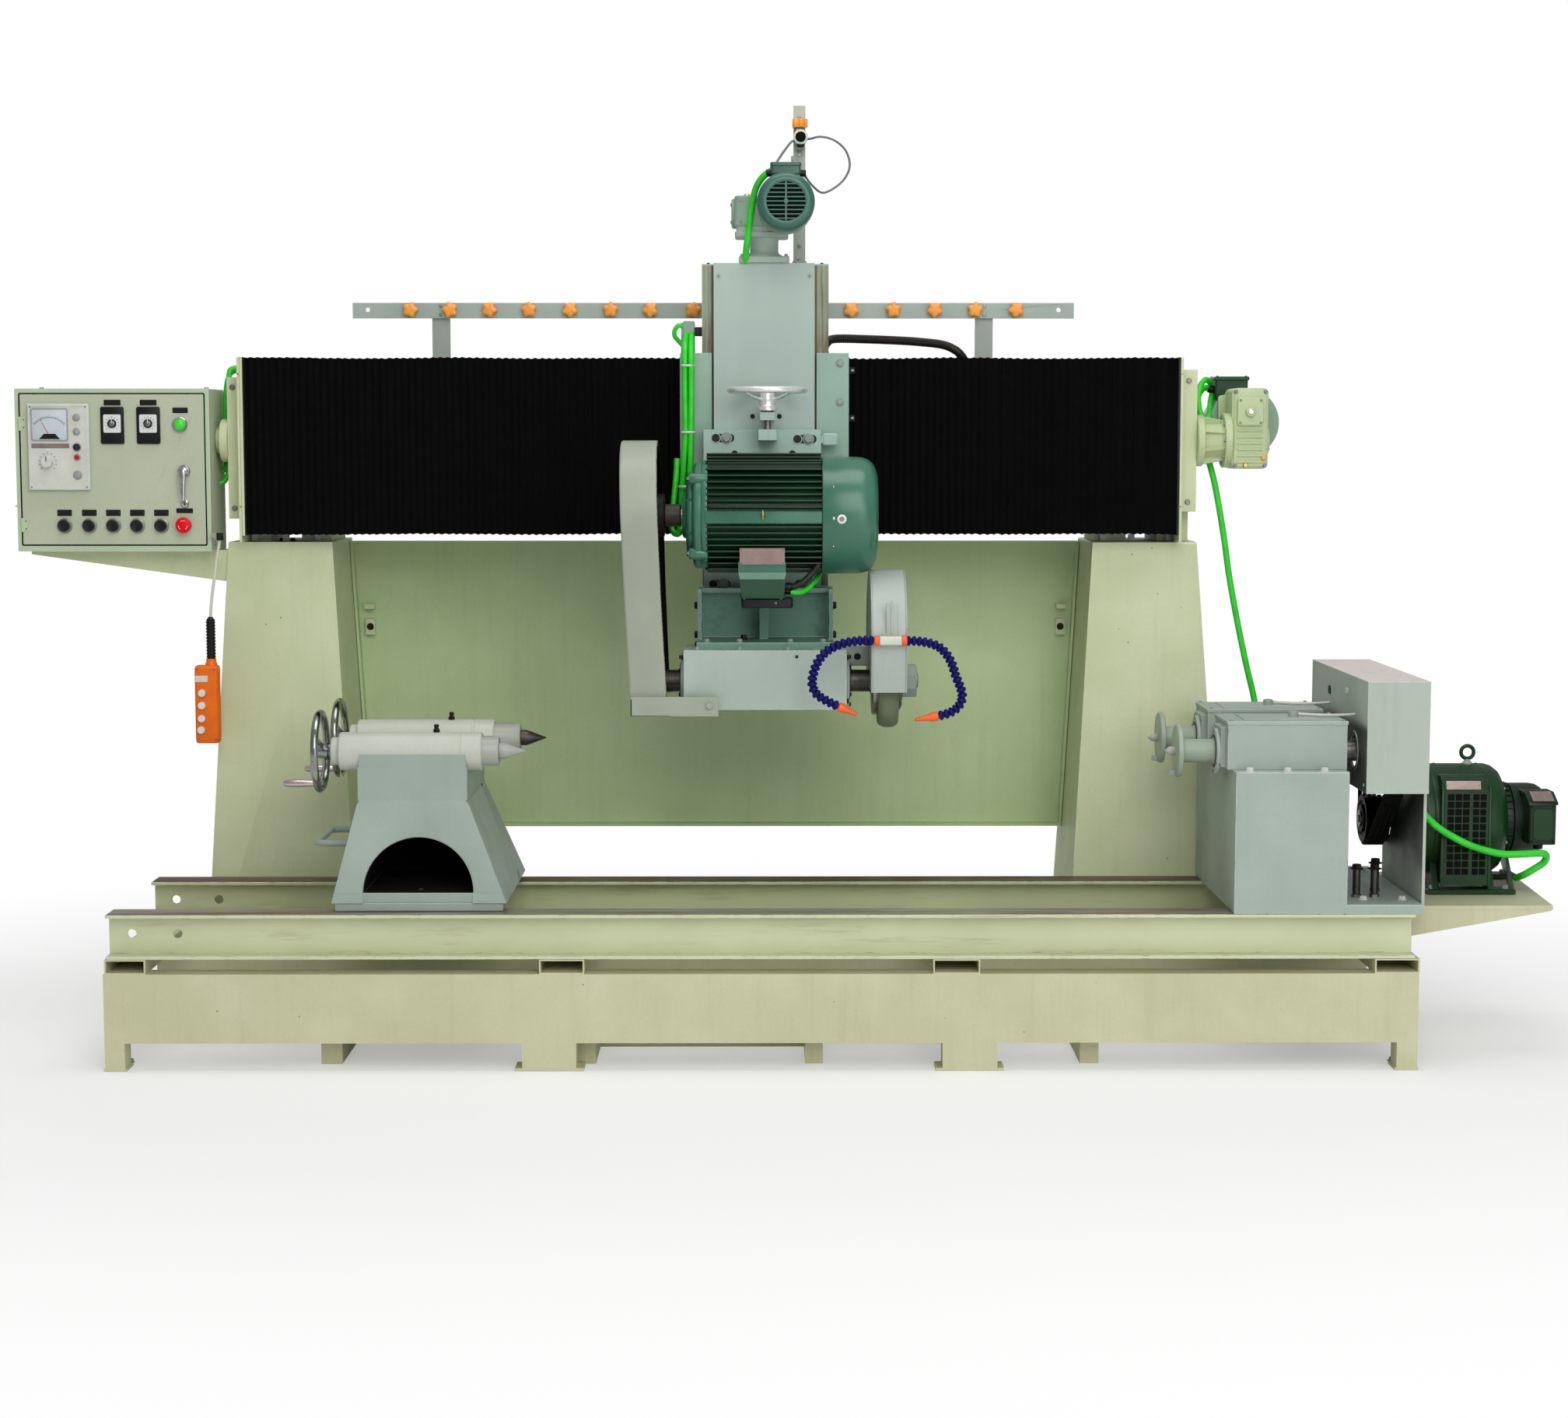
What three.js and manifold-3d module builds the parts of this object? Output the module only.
// Wet profile-grinding machine: a bed with two work spindles and a double tailstock, and a gantry
// with a traversing wheel head. Millimetres, +X to the operator's right, +Y to the back, +Z up.
// The origin is on the floor, midway between the two bed rails, at the middle of the bed.
import * as THREE from 'three';
import { mergeVertices } from 'three/addons/utils/BufferGeometryUtils.js';
import Module from 'manifold-3d';

const wasm = await Module();
wasm.setup();

// ---------------------------------------------------------------- driving dimensions
// A constant that holds a pair is a range [low, high].
const GAP = 0.3;                          // clearance between separate pieces
const BED_X = [-1765, 1768];              // ends of the front and rear sills
const BED_Y = 325;                        // half width over the sills
const TUBE_TOP = 305;                     // top of the cross tubes of the bed
const RAIL_TOP = 426;
const SEAT_Z = RAIL_TOP + GAP;            // underside of what stands on the rails
const BASE_TOP = 70;                      // top of the gantry's floor frame
const PILLAR_TOP = 1396;
const BEAM_X = [-1512, 1224];
const BEAM_TOP = 1885;
const SCREW_Y = 440, SCREW_Z = 1690;      // traverse screw
const SADDLE_X = [-230, 247];
const RAM_TOP = 2186;
const FEED_X = 10, FEED_Y = 298;          // ram feed screw
const LIFT_X = 17, LIFT_Y = 75;           // head lift screw
const SPINDLE_Z = 1027;                   // wheel spindle, at y = 0
const MOTOR_Y = -10, MOTOR_Z = 1485;      // wheel motor
const SPINDLE_PULLEY_R = 60, MOTOR_PULLEY_R = 78;
const CENTRE_Y = 168, CENTRE_Z = 850;     // work spindle and tailstock centre lines
const LINES = [['front', -CENTRE_Y], ['rear', CENTRE_Y]];
const WORK_MOTOR_Y = 150, WORK_MOTOR_Z = 620;
const WORK_PULLEY_R = 60, WORK_MOTOR_PULLEY_R = 68;
const BOX = { x0: -2140, x1: -1583, y0: 332, y1: 540, z0: 1372, z1: 1838 }; // control cabinet

// facets round a turned surface, as a share of the count asked for
const FACETS = 0.56;
const facets = (count) => Math.max(8, 2 * Math.round((count * FACETS) / 2));

// ---------------------------------------------------------------- solids
// closed manifold from three.js geometry, with its faces turned outward
function solid(geometry) {
  const soup = geometry.index ? geometry.toNonIndexed() : geometry;
  soup.deleteAttribute('normal');
  soup.deleteAttribute('uv');
  const merged = mergeVertices(soup, 1e-3);
  const p = merged.attributes.position.array;
  const index = merged.index.array;
  const triangles = [];
  let volume = 0;
  for (let i = 0; i < index.length; i += 3) {
    const [a, b, c] = index.subarray(i, i + 3);
    if (a === b || b === c || a === c) continue;
    triangles.push(a, b, c);
    volume += p[3 * a] * (p[3 * b + 1] * p[3 * c + 2] - p[3 * b + 2] * p[3 * c + 1])
      - p[3 * a + 1] * (p[3 * b] * p[3 * c + 2] - p[3 * b + 2] * p[3 * c])
      + p[3 * a + 2] * (p[3 * b] * p[3 * c + 1] - p[3 * b + 1] * p[3 * c]);
  }
  if (volume < 0) triangles.reverse();
  return manifold(new Float32Array(p), new Uint32Array(triangles));
}
function manifold(vertProperties, triVerts) {
  return new wasm.Manifold(new wasm.Mesh({ numProp: 3, vertProperties, triVerts }));
}

const join = (...parts) => parts.flat().reduce((a, b) => a.add(b));
const cut = (body, ...tools) => tools.flat().reduce((a, b) => a.subtract(b), body);

function box(x0, x1, y0, y1, z0, z1) {
  const block = new THREE.BoxGeometry(x1 - x0, y1 - y0, z1 - z0);
  return solid(block.translate((x0 + x1) / 2, (y0 + y1) / 2, (z0 + z1) / 2));
}
// one box for each row [x0, x1, y0, y1, z0, z1]
const boxes = (rows) => rows.map((row) => box(...row));

// eight-cornered block: rectangle bottom at z0, rectangle top at z1, each [x0, x1, y0, y1]
function hexa(bottom, z0, top, z1) {
  const block = new THREE.BoxGeometry(1, 1, 1);
  const p = block.attributes.position;
  for (let i = 0; i < p.count; i++) {
    const low = p.getZ(i) < 0;
    const [x0, x1, y0, y1] = low ? bottom : top;
    p.setXYZ(i, p.getX(i) < 0 ? x0 : x1, p.getY(i) < 0 ? y0 : y1, low ? z0 : z1);
  }
  return solid(block);
}

const basis = (...axes) =>
  new THREE.Matrix4().makeBasis(...axes.map((axis) => new THREE.Vector3(...axis)));
// a profile's (u, v, depth) axes in the world, for an extrusion along x, y or z
const EXTRUDE_AXES = {
  x: basis([0, 1, 0], [0, 0, 1], [1, 0, 0]),
  y: basis([1, 0, 0], [0, 0, 1], [0, -1, 0]),
  z: new THREE.Matrix4(),
};
// a lathe's axes in the world, its own axis being the second
const TURN_AXES = {
  x: basis([0, 1, 0], [1, 0, 0], [0, 0, 1]),
  y: basis([1, 0, 0], [0, 1, 0], [0, 0, 1]),
  z: basis([1, 0, 0], [0, 0, 1], [0, 1, 0]),
};
const vectors = (points) => points.map(([u, v]) => new THREE.Vector2(u, v));

// polygon extruded along an axis: x takes (y, z), y takes (x, z), z takes (x, y)
function prism(axis, outline, from, to, holes = []) {
  const shape = new THREE.Shape(vectors(outline));
  shape.holes = holes.map((hole) => new THREE.Path(vectors(hole)));
  const geometry = new THREE.ExtrudeGeometry(shape, { depth: to - from, bevelEnabled: false });
  geometry.translate(0, 0, axis === 'y' ? -to : from);
  return solid(geometry.applyMatrix4(EXTRUDE_AXES[axis]));
}
// body of revolution about an axis through (c1, c2), the other two coordinates in x, y, z order;
// profile [[radius, position along axis], ...] starts and ends on the axis
function turn(axis, c1, c2, profile, count = 24) {
  const geometry = new THREE.LatheGeometry(vectors(profile), facets(count));
  geometry.applyMatrix4(TURN_AXES[axis]);
  const offset = { x: [0, c1, c2], y: [c1, 0, c2], z: [c1, c2, 0] }[axis];
  return solid(geometry.translate(...offset));
}
const rod = (axis, from, to, c1, c2, radius, count) =>
  turn(axis, c1, c2, [[0, from], [radius, from], [radius, to], [0, to]], count);
// coaxial rods, one for each row [from, to, radius, facet count]
const rods = (axis, c1, c2, rows) =>
  rows.map(([from, to, radius, count]) => rod(axis, from, to, c1, c2, radius, count));

const ring = (radius, count, cu = 0, cv = 0, start = 0) => Array.from({ length: count }, (_, i) => {
  const angle = start + (2 * Math.PI * i) / count;
  return [cu + radius * Math.cos(angle), cv + radius * Math.sin(angle)];
});
// upper half of a circle or ellipse, from its +u end to its -u end
const halfRing = (cu, cv, radius, steps, height = radius) =>
  Array.from({ length: steps + 1 }, (_, i) => {
    const angle = (Math.PI * i) / steps;
    return [cu + radius * Math.cos(angle), cv + height * Math.sin(angle)];
  });
function tube(points, radius, sides, steps, tension = 0.5) {
  const stations = points.map((point) => new THREE.Vector3(...point));
  const extrudePath = new THREE.CatmullRomCurve3(stations, false, 'catmullrom', tension);
  const shape = new THREE.Shape(vectors(ring(radius, sides)));
  return solid(new THREE.ExtrudeGeometry(shape, { steps, bevelEnabled: false, extrudePath }));
}
// handwheel rim about x or z
function rim(axis, centre, radius, thickness) {
  const geometry = new THREE.TorusGeometry(radius, thickness, 6, 20);
  if (axis === 'x') geometry.rotateY(Math.PI / 2);
  return solid(geometry.translate(...centre));
}
// three handwheel spokes about x or z; stations are [distance from axis, position along axis]
const spokes = (axis, c1, c2, start, radius, stations) => [0, 1, 2].map((i) => {
  const angle = start + (2 * Math.PI * i) / 3;
  const path = stations.map(([out, along]) => {
    const across = [c1 + out * Math.cos(angle), c2 + out * Math.sin(angle)];
    return axis === 'x' ? [along, ...across] : [...across, along];
  });
  return tube(path, radius, 6, 2);
});

// convex outline round a set of circles [[cu, cv, radius], ...]
function hull(circles, count) {
  const points = circles.flatMap(([cu, cv, radius]) => ring(radius, count, cu, cv))
    .sort((a, b) => a[0] - b[0] || a[1] - b[1]);
  const half = (list) => {
    const chain = [];
    for (const p of list) {
      while (chain.length > 1) {
        const [a, b] = chain.slice(-2);
        const turning = (b[0] - a[0]) * (p[1] - a[1]) - (b[1] - a[1]) * (p[0] - a[0]);
        if (turning > 1e-6) break;
        chain.pop();
      }
      chain.push(p);
    }
    chain.pop();
    return chain;
  };
  return [...half(points), ...half([...points].reverse())];
}
// belt round pulleys [[y, z, radius], ...]
function belt(pulleys, x0, x1) {
  const clearance = 0.6, thickness = 9;
  const outline = (grow) => hull(pulleys.map(([y, z, radius]) => [y, z, radius + grow]), 28);
  return prism('x', outline(clearance + thickness), x0, x1, [outline(clearance)]);
}

// ---------------------------------------------------------------- materials
const paint = (color, roughness, metalness = 0) => ({ color, roughness, metalness });
const FINISHES = {
  cream: paint(0xc3cda3, 0.55),
  rail: paint(0xb7be93, 0.5),
  grey: paint(0xa5b7b1, 0.5),
  casting: paint(0x8fa39b, 0.6),
  pale: paint(0xc6c7b9, 0.45),
  green: paint(0x2f5f52, 0.4, 0.1),
  chrome: paint(0xd8d8dc, 0.12, 1),
  steel: paint(0x8d8f8c, 0.35, 0.9),
  black: paint(0x080907, 0.85),
  plastic: paint(0x101010, 0.4),
  red: paint(0xd01818, 0.35),
  orange: paint(0xe65f0a, 0.45),
  knob: paint(0xf59a28, 0.4),
  navy: paint(0x1c1c63, 0.4),
  white: paint(0xe4e6e4, 0.4),
  stone: paint(0x525d48, 0.95),
  rubber: paint(0x161616, 0.8),
  cabinet: paint(0xb7bfa6, 0.5),
};
const MAT = Object.fromEntries(Object.entries(FINISHES)
  .map(([name, finish]) => [name, new THREE.MeshStandardMaterial(finish)]));

// ---------------------------------------------------------------- groups and meshes
const machine = new THREE.Group();
// group with its origin at a world position, which it keeps in userData.at
function group(x = 0, y = 0, z = 0, parent = machine) {
  const made = new THREE.Group();
  made.userData.at = new THREE.Vector3(x, y, z);
  made.position.copy(made.userData.at);
  if (parent !== machine) made.position.sub(parent.userData.at);
  parent.add(made);
  return made;
}
const fixed = group();
// mesh of a solid given in world coordinates
function piece(name, body, material, parent = fixed) {
  const { vertProperties, triVerts } = body.getMesh();
  const geometry = new THREE.BufferGeometry();
  geometry.setAttribute('position', new THREE.BufferAttribute(new Float32Array(vertProperties), 3));
  geometry.setIndex(new THREE.BufferAttribute(new Uint32Array(triVerts), 1));
  const { x, y, z } = parent.userData.at;
  geometry.translate(-x, -y, -z);
  geometry.computeVertexNormals();
  const mesh = new THREE.Mesh(geometry, material);
  mesh.name = name;
  parent.add(mesh);
}

// ---------------------------------------------------------------- bed
const SILL_Z = [77, 265];
const SILL_WALL = 8;
const TUBES_X = [[-1761, -1651], [-596, -475], [462, 588], [1649, 1769]];
// feet: [left, right, sole plate overhang at left, at right]
const SHARED_FEET = [[-1765, -1711, 3, 4], [488, 636, 18, 18], [1712, 1768, 4, 3]];
const FRONT_FOOT = [-644, -498, 20, 20];
const REAR_FOOT = [-640, -515, 4, 4];

// channel sill with its feet; side is -1 at the front, 1 at the rear
function sill(side, feet) {
  const [z0, z1] = SILL_Z;
  const inward = (width) => (side < 0 ? [-BED_Y, width - BED_Y] : [BED_Y - width, BED_Y]);
  const web = inward(SILL_WALL), flange = inward(70), sole = inward(82);
  return boxes([
    [...BED_X, ...web, z0, z1],
    [...BED_X, ...flange, z1 - SILL_WALL, z1],
    [...BED_X, ...flange, z0, z0 + SILL_WALL],
    ...feet.flatMap(([left, right, overLeft, overRight]) => [
      [left, right, ...web, 0, z0 + 1],
      [left - overLeft, right + overRight, ...sole, 0, 8],
      [left, left + 8, ...flange, 0, z0 + 1],
      [right - 8, right, ...flange, 0, z0 + 1],
    ]),
  ]);
}
function crossTube([x0, x1]) {
  const wall = 4, base = SILL_Z[1];
  return cut(box(x0, x1, -BED_Y, BED_Y, base - 0.3, TUBE_TOP),
    box(x0 + wall, x1 - wall, -BED_Y - 1, BED_Y + 1, base + wall, TUBE_TOP - wall));
}
// motor shelf outside the right end, on two gussets
function motorShelf() {
  const x0 = 1757.5;
  const plate = [[x0, -191], [2162, -191], [2200, 400], [x0, 400]];
  const gusset = [[x0, 300], [1769, 300], [1769, 342], [2158, 412], [2158, 414.5], [x0, 414.5]];
  return [
    prism('z', plate, 414, RAIL_TOP),
    prism('y', gusset, -193, -185),
    prism('y', gusset, 250, 258),
  ];
}
// I-section rail with two cross holes near its left end
function rail(centreY) {
  const length = [-1756, 1756], halfFlange = 50, halfWeb = 4, flange = 9;
  const z0 = TUBE_TOP + GAP, z1 = RAIL_TOP;
  const half = [
    [halfFlange, z0], [halfFlange, z0 + flange], [halfWeb, z0 + flange],
    [halfWeb, z1 - flange], [halfFlange, z1 - flange], [halfFlange, z1],
  ];
  const side = (sign) => half.map(([y, z]) => [centreY + sign * y, z]);
  return cut(prism('x', [...side(1), ...side(-1).reverse()], ...length),
    [-1695, -1572].map((x) => rod('y', centreY - 20, centreY + 20, x, 368, 13, 16)));
}
piece('bed_frame', join(sill(-1, [...SHARED_FEET, FRONT_FOOT]), sill(1, [...SHARED_FEET, REAR_FOOT]),
  TUBES_X.map(crossTube), motorShelf()), MAT.cream);
piece('front_rail', rail(-275), MAT.rail);
piece('rear_rail', rail(275), MAT.rail);

// ---------------------------------------------------------------- gantry
const RUNNERS_X = [[-1198, -1141], [-501, -451], [119, 167], [868, 919]];
piece('gantry_base', join(
  RUNNERS_X.map((x) => box(...x, -235, 930, 0, BASE_TOP)),
  [[420, 500], [790, 870]].map((y) => box(-1636, 1370, ...y, 0, BASE_TOP)),
  box(-452, 120, -25, 25, 0, 10),
), MAT.cream);

// hollow tapering pillar, open at the bottom
function pillar(footX, topX) {
  const wall = 12;
  const foot = [...footX, 358, 890], top = [...topX, 420, 800];
  const inset = ([x0, x1, y0, y1]) => [x0 + wall, x1 - wall, y0 + wall, y1 - wall];
  return cut(hexa(foot, BASE_TOP + GAP, top, PILLAR_TOP),
    hexa(inset(foot), BASE_TOP - 1, inset(top), PILLAR_TOP - wall));
}
function cabinetBracket() {
  const top = BOX.z0 - GAP;
  const outline = [[-2127, top], [-1546, top], [-1546, 1282], [-1566, 1282], [-2127, 1360]];
  return prism('y', outline, 425, 537);
}
piece('left_pillar', join(pillar([-1633, -1177], [-1553, -1251]), cabinetBracket()), MAT.cream);
piece('right_pillar', pillar([893, 1366], [965, 1269]), MAT.cream);

// sheet between the pillars, wider at the top, with a lip, end returns, a top strip and three ribs
function rearPanel() {
  const z0 = 515, z1 = 1386, sheet = 8, back = 784;
  const low = [-1199, 915], high = [-1249, 962];
  const deep = [736, back], thin = [back - sheet, back];
  const slab = (bottom, top, y) => hexa([...bottom, ...y], z0, [...top, ...y], z1);
  return join(
    slab(low, high, thin),
    box(...low, ...deep, z0, z0 + sheet),
    box(...high, thin[0], 796, z1 - sheet, z1),
    slab([low[0], low[0] + sheet], [high[0], high[0] + sheet], deep),
    slab([low[1] - sheet, low[1]], [high[1] - sheet, high[1]], deep),
    [-850, -160, 530].map((x) => box(x, x + 60, back, 800, z0, 1380)),
  );
}
piece('rear_panel', rearPanel(), MAT.cream);

function crossBeam() {
  const front = 480, padZ = PILLAR_TOP + GAP, padY = [485, 740], plateY = [402, 770];
  const screwHole = (from, to) => rod('x', from, to, SCREW_Y, SCREW_Z, 18, 20);
  const blocks = boxes([
    [...BEAM_X, front, 760, 1440, BEAM_TOP],
    // ways along the front
    [...BEAM_X, 452, front + 1, 1475, 1520],
    [...BEAM_X, 452, front + 1, 1820, 1865],
    // end plates
    [-1546, -1511, ...plateY, 1464, 1872],
    [1212, 1262, ...plateY, 1484, 1894],
    // end frames that carry the bellows
    [-1506, -1499, 346, front + 1, 1398, 1928],
    [1205.5, 1213, 346, front + 1, 1398, 1928],
    // pads on the pillars
    [-1531, -1440, ...padY, padZ, 1470],
    [-1350, -1262, ...padY, padZ, 1441],
    [977, 1070, ...padY, padZ, 1441],
    [1160, 1252, ...padY, padZ, 1490],
  ]);
  // bearing for the traverse screw at the left end
  const bearing = rods('x', SCREW_Y, SCREW_Z, [[-1568, -1545, 61, 28], [-1581, -1567, 38, 24]]);
  return cut(join(blocks, bearing), screwHole(-1600, -1490), screwHole(1200, 1275));
}
piece('cross_beam', crossBeam(), MAT.cream);

piece('traverse_gearbox', cut(join(
  rods('x', SCREW_Y, SCREW_Z, [[1262.4, 1283, 75, 32], [1282, 1342, 54, 28], [1341, 1362, 79, 32]]),
  box(1360, 1466, 385, 519.7, 1608, 1841),
  box(1376, 1451, 368, 386, 1733, 1813),
  rod('y', 356, 370, 1413, 1772, 14, 16),
), rod('x', 1255, 1300, SCREW_Y, SCREW_Z, 18, 20)), MAT.cream);
piece('traverse_motor', join(
  rods('y', 1420, 1742, [[520.3, 540, 105, 32], [539, 720, 78, 28], [719, 800, 86, 28]]),
  box(1338, 1437, 560, 680, 1797, 1880),
), MAT.green);

// ---------------------------------------------------------------- template bar
const KNOBS_X = [
  -1024, -908, -793, -678, -558, -440, -324, -200, -82, 36, 149, 262, 385, 505, 623, 743,
];
function templateBar() {
  const bar = cut(box(-1194, 913, 505, 513, 2045, 2090),
    KNOBS_X.map((x) => box(x - 5, x + 5, 500, 520, 2064, 2074)),
    [-1150, 868].map((x) => rod('y', 500, 520, x, 2070, 7, 12)));
  const foot = BEAM_TOP + GAP;
  const posts = [[-964, -912], [625, 677]].flatMap(([x0, x1]) => boxes([
    [x0, x1, 518, 530, foot, 2090],
    [x0, x1, 512, 519, 2046, 2058],
    [x0 - 15, x1 + 15, 518, 590, foot, BEAM_TOP + 10],
  ]));
  return join(bar, posts);
}
piece('template_bar', templateBar(), MAT.grey);
// five-sided heads on flat stems, joined by a strip behind the bar
piece('template_knobs', join(
  box(-1050, 770, 513.4, 516.4, 2062, 2076),
  KNOBS_X.flatMap((x) => [
    prism('y', ring(22, 5, x, 2069, Math.PI / 2), 480, 494),
    box(x - 3, x + 3, 493, 514, 2066, 2072),
  ]),
), MAT.knob);

// ---------------------------------------------------------------- bellows
// C-shaped cover over the beam ways, open to the back
function bellows(x0, x1) {
  const front = 350, back = 478, wall = 16, z0 = 1418, z1 = 1923;
  return prism('x', [
    [front, z0], [back, z0], [back, z0 + wall], [front + wall, z0 + wall],
    [front + wall, z1 - wall], [back, z1 - wall], [back, z1], [front, z1],
  ], x0, x1);
}
piece('bellows_left', bellows(-1498.5, SADDLE_X[0] - 1), MAT.black);
piece('bellows_right', bellows(SADDLE_X[1] + 1, 1205), MAT.black);

// ---------------------------------------------------------------- headstock
const HEADSTOCK_TOP = 810;
piece('headstock_base', cut(
  join(box(1267, 1571, -BED_Y, 345, SEAT_Z, HEADSTOCK_TOP), box(1267, 1773, -BED_Y, 345, SEAT_Z, 452)),
  box(1279, 1559, -313, 333, 420, HEADSTOCK_TOP - 12),
), MAT.grey);
for (const [name, y] of LINES) {
  const housing = boxes([
    [1252, 1573, y - 107, y + 107, HEADSTOCK_TOP + GAP, 932],
    [1250, 1575, y - 109, y + 109, 931, 941],
    [1241, 1253, y - 62, y + 62, 812, 920],
    [1572, 1583, y - 55, y + 55, 812, 915],
  ]);
  piece(`headstock_${name}_box`,
    cut(join(housing), rod('x', 1230, 1600, y, CENTRE_Z, 32, 24)), MAT.grey);
}
// cover open at the bottom, with a plate on its right down to the motor shelf
piece('belt_cover', cut(
  join(box(1614, 1781, -330, 420, 752, 1052), box(1778, 1786, -290, 190, SEAT_Z, 780)),
  box(1618, 1777, -326, 416, 745, 1048),
  LINES.map(([, y]) => rod('x', 1608, 1624, y, CENTRE_Z, 45, 24)),
  rod('x', 1770, 1795, WORK_MOTOR_Y, WORK_MOTOR_Z, 60, 24),
), MAT.pale);

function workMotor() {
  // [radius, x]
  const profile = [
    [0, 1822], [110, 1822], [142, 1838], [157, 1856], [157, 2056], [146, 2080], [120, 2092],
    [95, 2096], [95, 2188], [86, 2210], [66, 2222], [0, 2222],
  ];
  const feet = boxes([
    [1862, 2108, -12, 44, SEAT_Z, 440],
    [1862, 2185, 256, 312, SEAT_Z, 440],
    [1880, 1900, 0, 300, 438, 520],
    [2030, 2050, 0, 300, 438, 520],
  ]);
  // casings on the front side: [y, z]
  const middle = [[-20, 452], [60, 452], [60, 756], [24, 752], [-20, 724]];
  const end = [[-12, 567], [90, 567], [90, 707], [40, 707], [-12, 683]];
  return cut(join(
    turn('x', WORK_MOTOR_Y, WORK_MOTOR_Z, profile, 36), feet,
    prism('x', middle, 1899, 2029), prism('x', end, 2142, 2216),
  ), rod('x', 1815, 1910, WORK_MOTOR_Y, WORK_MOTOR_Z, 27, 20));
}
piece('work_motor', workMotor(), MAT.green);
piece('work_belt', belt([
  [WORK_MOTOR_Y, WORK_MOTOR_Z, WORK_MOTOR_PULLEY_R],
  [CENTRE_Y, CENTRE_Z, WORK_PULLEY_R],
  [-CENTRE_Y, CENTRE_Z, WORK_PULLEY_R],
], 1712, 1766), MAT.rubber);

// ---------------------------------------------------------------- control cabinet
const DOOR_Y = 330.5;                     // front face of the door
const BUTTONS_X = [-2004, -1933, -1864, -1795, -1726];
const BUTTON_Z = 1446;
const STOP_X = -1659, STOP_Z = 1448;
const DIALS_X = [-1860, -1757], DIAL_Z = 1738;
const SPEED_X = -2045, SPEED_Z = 1629;
const LATCH_X = -1658, LATCH_Z = 1602;
piece('control_box', cut(
  box(BOX.x0, BOX.x1, BOX.y0, BOX.y1, BOX.z0, BOX.z1),
  box(BOX.x0 + 13, BOX.x1 - 14, BOX.y0 - 5, BOX.y1 - 4, BOX.z0 + 18, BOX.z1 - 14),
), MAT.cabinet);

const door = group(-2126, DOOR_Y, 1600);
piece('control_door', join(
  cut(box(-2125, -1599, DOOR_Y, DOOR_Y + 4, 1392, 1822),
    BUTTONS_X.map((x) => rod('y', 320, 340, x, BUTTON_Z, 11, 16)),
    rod('y', 320, 340, STOP_X, STOP_Z, 11, 16)),
  [[-1892, -1827], [-1790, -1725]].map((x) => box(...x, 324, 331, 1682, 1784)),
  rod('y', 318, 331, -1666, 1735, 17, 24),
  rod('y', 322, 331, LATCH_X, LATCH_Z, 15, 20),
), MAT.cabinet, door);
piece('speed_controller', box(-2101, -1925, 316, 330.2, 1548, 1795), MAT.white, door);
BUTTONS_X.forEach((x, i) => piece(`push_button_${i + 1}`,
  join(rods('y', x, BUTTON_Z, [[313, 322, 17, 24], [321, 350, 9, 16]])),
  MAT.plastic, group(x, 322, BUTTON_Z, door)));
piece('emergency_stop', join(rods('y', STOP_X, STOP_Z, [[300, 314, 23, 24], [313, 350, 9, 16]])),
  MAT.red, group(STOP_X, 314, STOP_Z, door));
DIALS_X.forEach((x, i) => piece(`timer_dial_${i + 1}`, join(
  rod('y', 316, 323.6, x, DIAL_Z, 13, 20),
  box(x - 2, x + 2, 314, 317, DIAL_Z - 10, DIAL_Z + 12),
), MAT.steel, group(x, 320, DIAL_Z, door)));
piece('speed_dial', join(
  rod('y', 298, 315.6, SPEED_X, SPEED_Z, 17, 24),
  box(SPEED_X - 2, SPEED_X + 2, 296, 299, SPEED_Z, SPEED_Z + 15),
), MAT.white, group(SPEED_X, 310, SPEED_Z, door));
piece('door_latch', join(
  rod('y', 304, 321.6, LATCH_X, LATCH_Z, 13, 20),
  prism('y', [
    [-1668, 1604], [-1648, 1604], [-1652, 1526], [-1656, 1518], [-1660, 1518], [-1664, 1526],
  ], 300, 312),
), MAT.chrome, group(LATCH_X, 315, LATCH_Z, door));

// ---------------------------------------------------------------- carriage
const carriage = group(0, 340, SCREW_Z);
function saddle() {
  const body = cut(box(...SADDLE_X, 225, 400, 1425, 1936),
    // vertical slot for the ram, open to the front
    box(-168.6, 190.6, 244.7, 331, 1400, 1950),
    box(-140, 156, 215, 246, 1400, 1950));
  const blocks = boxes([
    // pads and lips round the beam ways
    [...SADDLE_X, 399, 449, 1470, 1530],
    [...SADDLE_X, 399, 449, 1810, 1870],
    [...SADDLE_X, 440, 476, 1867, 1880],
    [...SADDLE_X, 440, 476, 1458, 1473],
    // lugs round the traverse screw and the feed screw
    [-40, 60, 399, 472, 1655, 1725],
    [-20, 40, 280, 332, 1640, 1720],
    // small bracket for the cable bundle at the upper left
    [-229, -190, 290, 330, 1935, 2024],
  ]);
  return cut(join(body, blocks), rod('x', -50, 70, SCREW_Y, SCREW_Z, 18, 20),
    rod('z', 1630, 1730, FEED_X, FEED_Y, 15, 20));
}
piece('saddle', saddle(), MAT.grey, carriage);
piece('traverse_screw', rod('x', -1579, 1290, SCREW_Y, SCREW_Z, 16, 16), MAT.steel,
  group(0, SCREW_Y, SCREW_Z));

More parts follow.
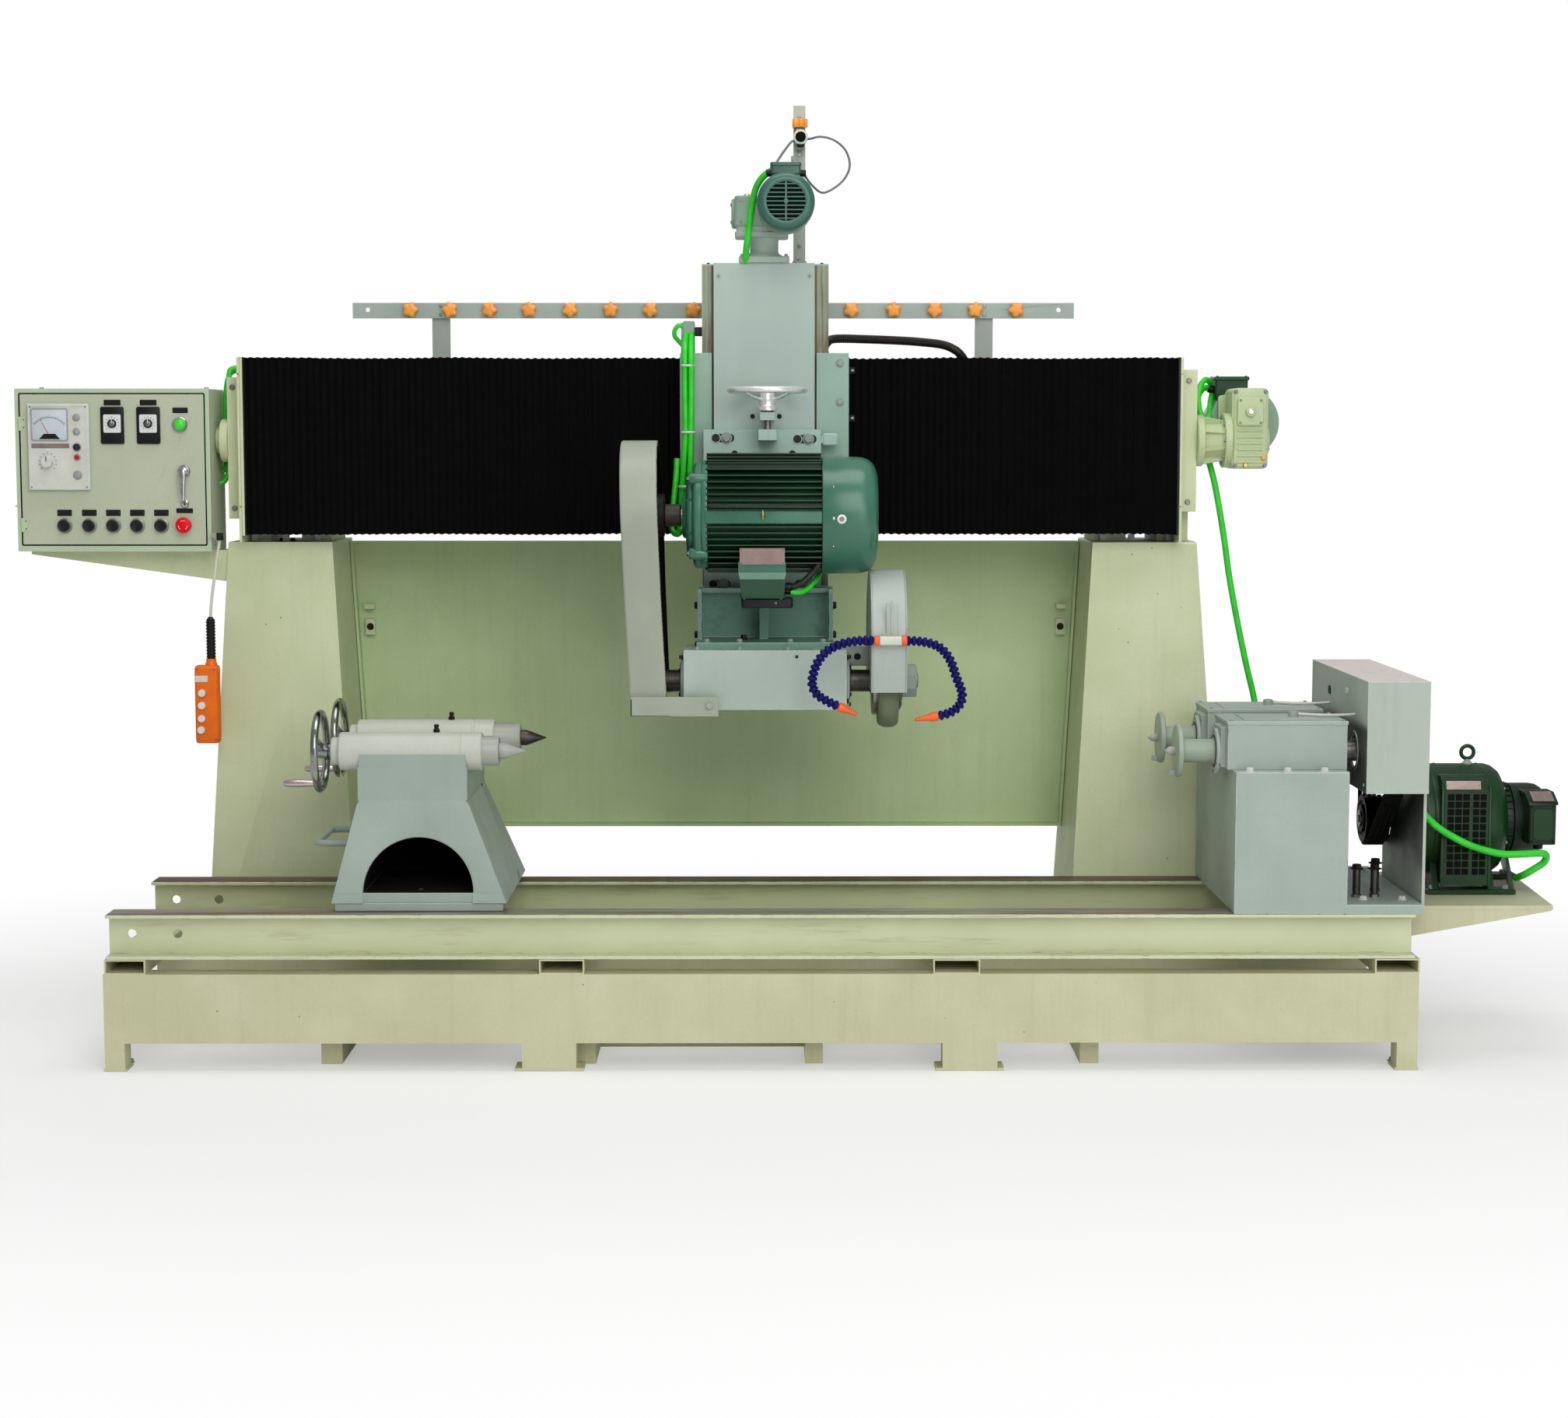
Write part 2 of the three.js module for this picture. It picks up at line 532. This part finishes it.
// ---------------------------------------------------------------- ram
const ram = group(0, 260, 1690, carriage);
function ramBody() {
  // [x, y], with a channel at the back
  const section = [
    [-134, 205], [150, 205], [150, 246], [190, 246], [190, 330], [70, 330], [70, 262],
    [-50, 262], [-50, 330], [-168, 330], [-168, 246], [-134, 246],
  ];
  return cut(join(
    prism('z', section, 1130, 2172),
    box(-134, 150, 205, 247, 2171, RAM_TOP),
    box(-168, 190, 246, 330, 2171, RAM_TOP),
    box(-3, 37, 46, 206, 1746, 1768),
  ), rod('z', 1740, 1780, LIFT_X, LIFT_Y, 13, 20));
}
piece('ram', ramBody(), MAT.grey, ram);
piece('feed_gearbox', join(
  box(-63, 79, 190, 310, RAM_TOP + GAP, 2202),
  rod('z', 2201, 2262, 5, 250, 46, 28),
  box(-70, 75, 186, 312, 2260, 2372),
  rod('x', -84, -69, 250, 2316, 42, 24),
), MAT.grey, ram);
piece('feed_motor', join(
  rods('y', 68, 2338, [[160, 185.6, 75, 32], [40, 161, 68, 32]]),
  turn('y', 68, 2338, [[0, -28], [66, -28], [79, -14], [79, 60], [0, 60]], 36),
  box(30, 112, 58, 140, 2390, 2450),
), MAT.green, ram);
piece('tracer_post', join(
  box(92, 124, 316, 328, RAM_TOP + GAP, 2634),
  box(88, 128, 268, 328, RAM_TOP + GAP, RAM_TOP + 10),
  box(98, 118, 286, 318, 2500, 2560),
  rod('y', 262, 288, 110, 2538, 17, 20),
  rods('z', 108, 305, [[2556, 2590, 8, 12], [2580, 2592, 21, 20]]),
), MAT.grey, ram);
piece('feed_screw', rod('z', 1200, 2168, FEED_X, FEED_Y, 13, 16), MAT.steel,
  group(FEED_X, FEED_Y, 1690, ram));
piece('head_handwheel', join(
  rim('z', [LIFT_X, LIFT_Y, 1830], 104, 9),
  rods('z', LIFT_X, LIFT_Y, [[1776, 1832, 20, 20], [1684, 1780, 10, 16]]),
  spokes('z', LIFT_X, LIFT_Y, Math.PI / 2, 7, [[12, 1804], [60, 1812], [104, 1829]]),
), MAT.chrome, group(LIFT_X, LIFT_Y, 1830, ram));

// ---------------------------------------------------------------- wheel head
const HOUSING_TOP = 1120;
const head = group(0, 60, 1400, ram);
function headSlide() {
  const foot = HOUSING_TOP + GAP, back = 204.5;
  const blocks = boxes([
    [-163, 168, 155, back, 1262, 1721],
    [-178, 200, 140, back, foot, 1279],
    // cheeks and middle web
    [-178, -166, 52, 141, foot, 1279],
    [188, 200, 52, 141, foot, 1279],
    [-5, 17, 60, 141, foot, 1279],
    // bottom and top plates
    [-178, 200, -70, 141, foot, 1138],
    [-178, 200, 100, 141, 1266, 1279],
    // block for the lift screw
    [-10, 44, 56, 156, 1690, 1721],
  ]);
  return cut(join(blocks), rod('z', 1680, 1730, LIFT_X, LIFT_Y, 12.5, 16));
}
piece('head_slide', headSlide(), MAT.casting, head);

function mainMotor() {
  // [radius, x]
  const profile = [
    [0, -216], [60, -216], [66, -204], [140, -196], [150, -184], [150, -160], [158, -158],
    [158, 168], [160, 170], [160, 262], [152, 288], [138, 306], [112, 320], [0, 320],
  ];
  return cut(join(
    turn('x', MOTOR_Y, MOTOR_Z, profile, 40),
    box(-150, 160, 100, 154.7, 1352, 1390),
    box(-150, 160, 100, 154.7, 1580, 1618),
    box(-58, 68, -150, -60, 1219, 1360),
  ), rod('x', -225, -180, MOTOR_Y, MOTOR_Z, 25, 20));
}
piece('main_motor', mainMotor(), MAT.green, head);

// the shell leans a little outward, to -X, towards its top
function beltGuard() {
  const slope = 0.0301, pivotZ = 1690;
  const outline = (radius, front, back, bottom) =>
    [[back, bottom], ...halfRing(MOTOR_Y, MOTOR_Z, radius, 12), [front, bottom]];
  const upright = cut(prism('x', outline(205, -121, 112, 985), -383, -278),
    prism('x', outline(201, -117, 108, 980), -380, -270)).getMesh();
  const points = Float32Array.from(upright.vertProperties);
  for (let i = 0; i < points.length; i += 3) points[i] += (pivotZ - points[i + 2]) * slope;
  return join(manifold(points, upright.triVerts),
    box(-357, -117, -134, -118, 941, 994), box(-165, -125, -120, -110.3, 950, 985));
}
piece('belt_guard', beltGuard(), MAT.pale, head);
piece('spindle_housing', cut(box(-213, 234, -110, 110, 956, HOUSING_TOP),
  rod('x', -220, 240, 0, SPINDLE_Z, 34, 28)), MAT.grey, head);

function wheelGuard() {
  const outline = (radius, halfWidth, bottom) =>
    [[halfWidth, bottom], ...halfRing(0, 1124, radius, 14), [-halfWidth, bottom]];
  const shell = cut(prism('x', outline(211, 192, 1011), 299, 393),
    prism('x', outline(207, 188, 1000), 303, 389),
    // spindle slots, open at the bottom
    rod('x', 290, 310, 0, SPINDLE_Z, 40, 24), rod('x', 380, 400, 0, SPINDLE_Z, 56, 24),
    box(290, 310, -40, 40, 990, SPINDLE_Z), box(380, 400, -56, 56, 990, SPINDLE_Z));
  return join(shell, box(234.4, 300, 50, 96, 1062, 1118));
}
piece('wheel_guard', wheelGuard(), MAT.pale, head);

// hose centre lines [x, z], from the block at the top down
const HOSE_Y = -230;
const LEFT_HOSE = [
  [308.27, 1155.35], [257.04, 1154.07], [225.02, 1149.58], [199.41, 1138.03], [180.2, 1128.41],
  [164.19, 1112.37], [148.18, 1093.12], [140.5, 1067.46], [135.37, 1045], [138.58, 1022.55],
  [154.59, 1003.3], [173.8, 993.68], [196.21, 980.85], [215.42, 976.36], [255.76, 958.39],
];
const RIGHT_HOSE = [
  [383.83, 1154.71], [436.34, 1150.86], [461.95, 1144.45], [484.36, 1131.61], [500.37, 1112.37],
  [513.18, 1093.12], [519.58, 1067.46], [532.39, 1041.8], [540.71, 1016.13], [541.99, 993.68],
  [532.39, 971.22], [513.18, 958.39], [487.56, 950.69], [465.15, 950.69], [415.2, 942.35],
];
piece('coolant_hoses', join(
  [LEFT_HOSE, RIGHT_HOSE].map((line) => tube(line.map(([x, z]) => [x, HOSE_Y, z]), 9, 6, 18)),
  box(300, 394, -240, -213, 1141, 1167),
), MAT.navy, head);

const PULLEY_X = [-345, -295];
piece('drive_belt', belt([
  [MOTOR_Y, MOTOR_Z, MOTOR_PULLEY_R], [0, SPINDLE_Z, SPINDLE_PULLEY_R],
], -340, -300), MAT.rubber, head);
piece('motor_pulley', join(rods('x', MOTOR_Y, MOTOR_Z, [
  [...PULLEY_X, MOTOR_PULLEY_R, 40], [-352, -185, 21, 20],
])), MAT.steel, group(-300, MOTOR_Y, MOTOR_Z, head));

const WHEEL_R = 130, WHEEL_X = [321, 378], WHEEL_BEVEL = 12;
const spindle = group(0, 0, SPINDLE_Z, head);
piece('wheel_spindle', join(rods('x', 0, SPINDLE_Z, [
  [-352, 306, 31, 32],
  [...PULLEY_X, SPINDLE_PULLEY_R, 40],
  [305, WHEEL_X[0] - GAP, 95, 40],        // flange left of the wheel
  [319, 430, 25, 20],
  [378.4, 387, 80, 36],                   // flange right of the wheel
  [386, 429, 50, 8],
])), MAT.steel, spindle);
function grindingWheel() {
  const [left, right] = WHEEL_X, faceR = WHEEL_R - WHEEL_BEVEL;
  return cut(turn('x', 0, SPINDLE_Z, [
    [0, left], [faceR, left], [WHEEL_R, left + WHEEL_BEVEL],
    [WHEEL_R, right - WHEEL_BEVEL], [faceR, right], [0, right],
  ], 48), rod('x', 315, 385, 0, SPINDLE_Z, 27, 24));
}
piece('grinding_wheel', grindingWheel(), MAT.stone, spindle);

// ---------------------------------------------------------------- tailstock
const tail = group(-925, 0, 600);
function tailstockBody() {
  const neck = [-1090, -795, -224, 224];
  // bar looped out from the left side
  const loop = [
    [-1100, -115], [-1190, -115], [-1222, -90], [-1222, 125], [-1190, 154], [-1100, 154],
  ].map(([x, y]) => [x, y, 590]);
  const along = (rows) => LINES.flatMap(([, y]) => rods('x', y, CENTRE_Z, rows));
  const body = join(
    box(-1148, -696, -272, 288, SEAT_Z, 450),
    hexa([-1158, -686, -276, 292], 449, neck, 722),
    box(...neck, 721, 830),
    along([[-1144, -757, 52, 36], [-1166, -1143, 38, 28]]),
    tube(loop, 8, 8, 22, 0.2),
  );
  // arched recess, open to the front
  return cut(body, prism('y', halfRing(-925, 476, 148, 16, 147), -330, 205),
    along([[-1110, -750, 42.5, 32], [-1170, -1105, 16, 16]]));
}
piece('tailstock_body', tailstockBody(), MAT.grey, tail);

const RIM_X = -1198;
// quill with a pointed nose, moved right by shift
function quill(y, shift) {
  // [radius, x]
  const profile = [
    [0, -1060], [41, -1060], [41, -712], [30, -711], [30, -682], [24, -674], [0, -639],
  ].map(([radius, x]) => [radius, x + shift]);
  return cut(turn('x', y, CENTRE_Z, profile, 32),
    rod('x', -1070 + shift, -900 + shift, y, CENTRE_Z, 15, 16));
}
function tailHandwheel(y) {
  return join(
    rim('x', [RIM_X, y, CENTRE_Z], 104, 10),
    rods('x', y, CENTRE_Z, [[-1206, -1166.4, 22, 24], [-1170, -940, 13, 16]]),
    spokes('x', y, CENTRE_Z, -Math.PI / 2, 8, [[12, -1178], [60, -1186], [103, RIM_X]]),
    // crank handle
    rods('x', y, CENTRE_Z - 88, [[-1297, -1188, 10, 16], [RIM_X, -1184, 13, 16]]),
  );
}
LINES.forEach(([name, y], i) => {
  const shift = [0, 28][i];
  piece(`quill_${name}`, quill(y, shift), MAT.steel, group(-900 + shift, y, CENTRE_Z, tail));
  piece(`handwheel_${name}`, tailHandwheel(y), MAT.chrome, group(-1196, y, CENTRE_Z, tail));
});

// ---------------------------------------------------------------- work spindles and their drive
const WORK_PULLEY_X = [1708, 1770];
for (const [name, y] of LINES) {
  piece(`work_spindle_${name}`, join(
    rods('x', y, CENTRE_Z, [
      [1127, 1141, 72, 40], [1140, 1231, 32, 28], [1230, 1239, 46, 28], [1230, 1772, 29, 24],
      [...WORK_PULLEY_X, WORK_PULLEY_R, 40], [1097, 1128, 12, 20],
    ]),
    box(1112, 1128, y - 8, y + 8, CENTRE_Z - 68, CENTRE_Z - 52),
  ), MAT.steel, group(1200, y, CENTRE_Z));
}
piece('work_motor_pulley', join(rods('x', WORK_MOTOR_Y, WORK_MOTOR_Z, [
  [...WORK_PULLEY_X, WORK_MOTOR_PULLEY_R, 44], [1700, 1900, 24, 20],
])), MAT.plastic, group(1700, WORK_MOTOR_Y, WORK_MOTOR_Z));

// ---------------------------------------------------------------- pendant
const CORD_Y = 314;
piece('pendant', join(
  box(-1634, -1566, 290, 338, 820, 1044),
  rod('z', 1040, 1177, -1588, CORD_Y, 13, 16),
  tube([[-1588, 1170], [-1580, 1260], [-1568, 1340], [-1556, 1412]]
    .map(([x, z]) => [x, CORD_Y, z]), 4, 6, 8),
), MAT.orange, group(-1556, CORD_Y, 1412));

export default machine;
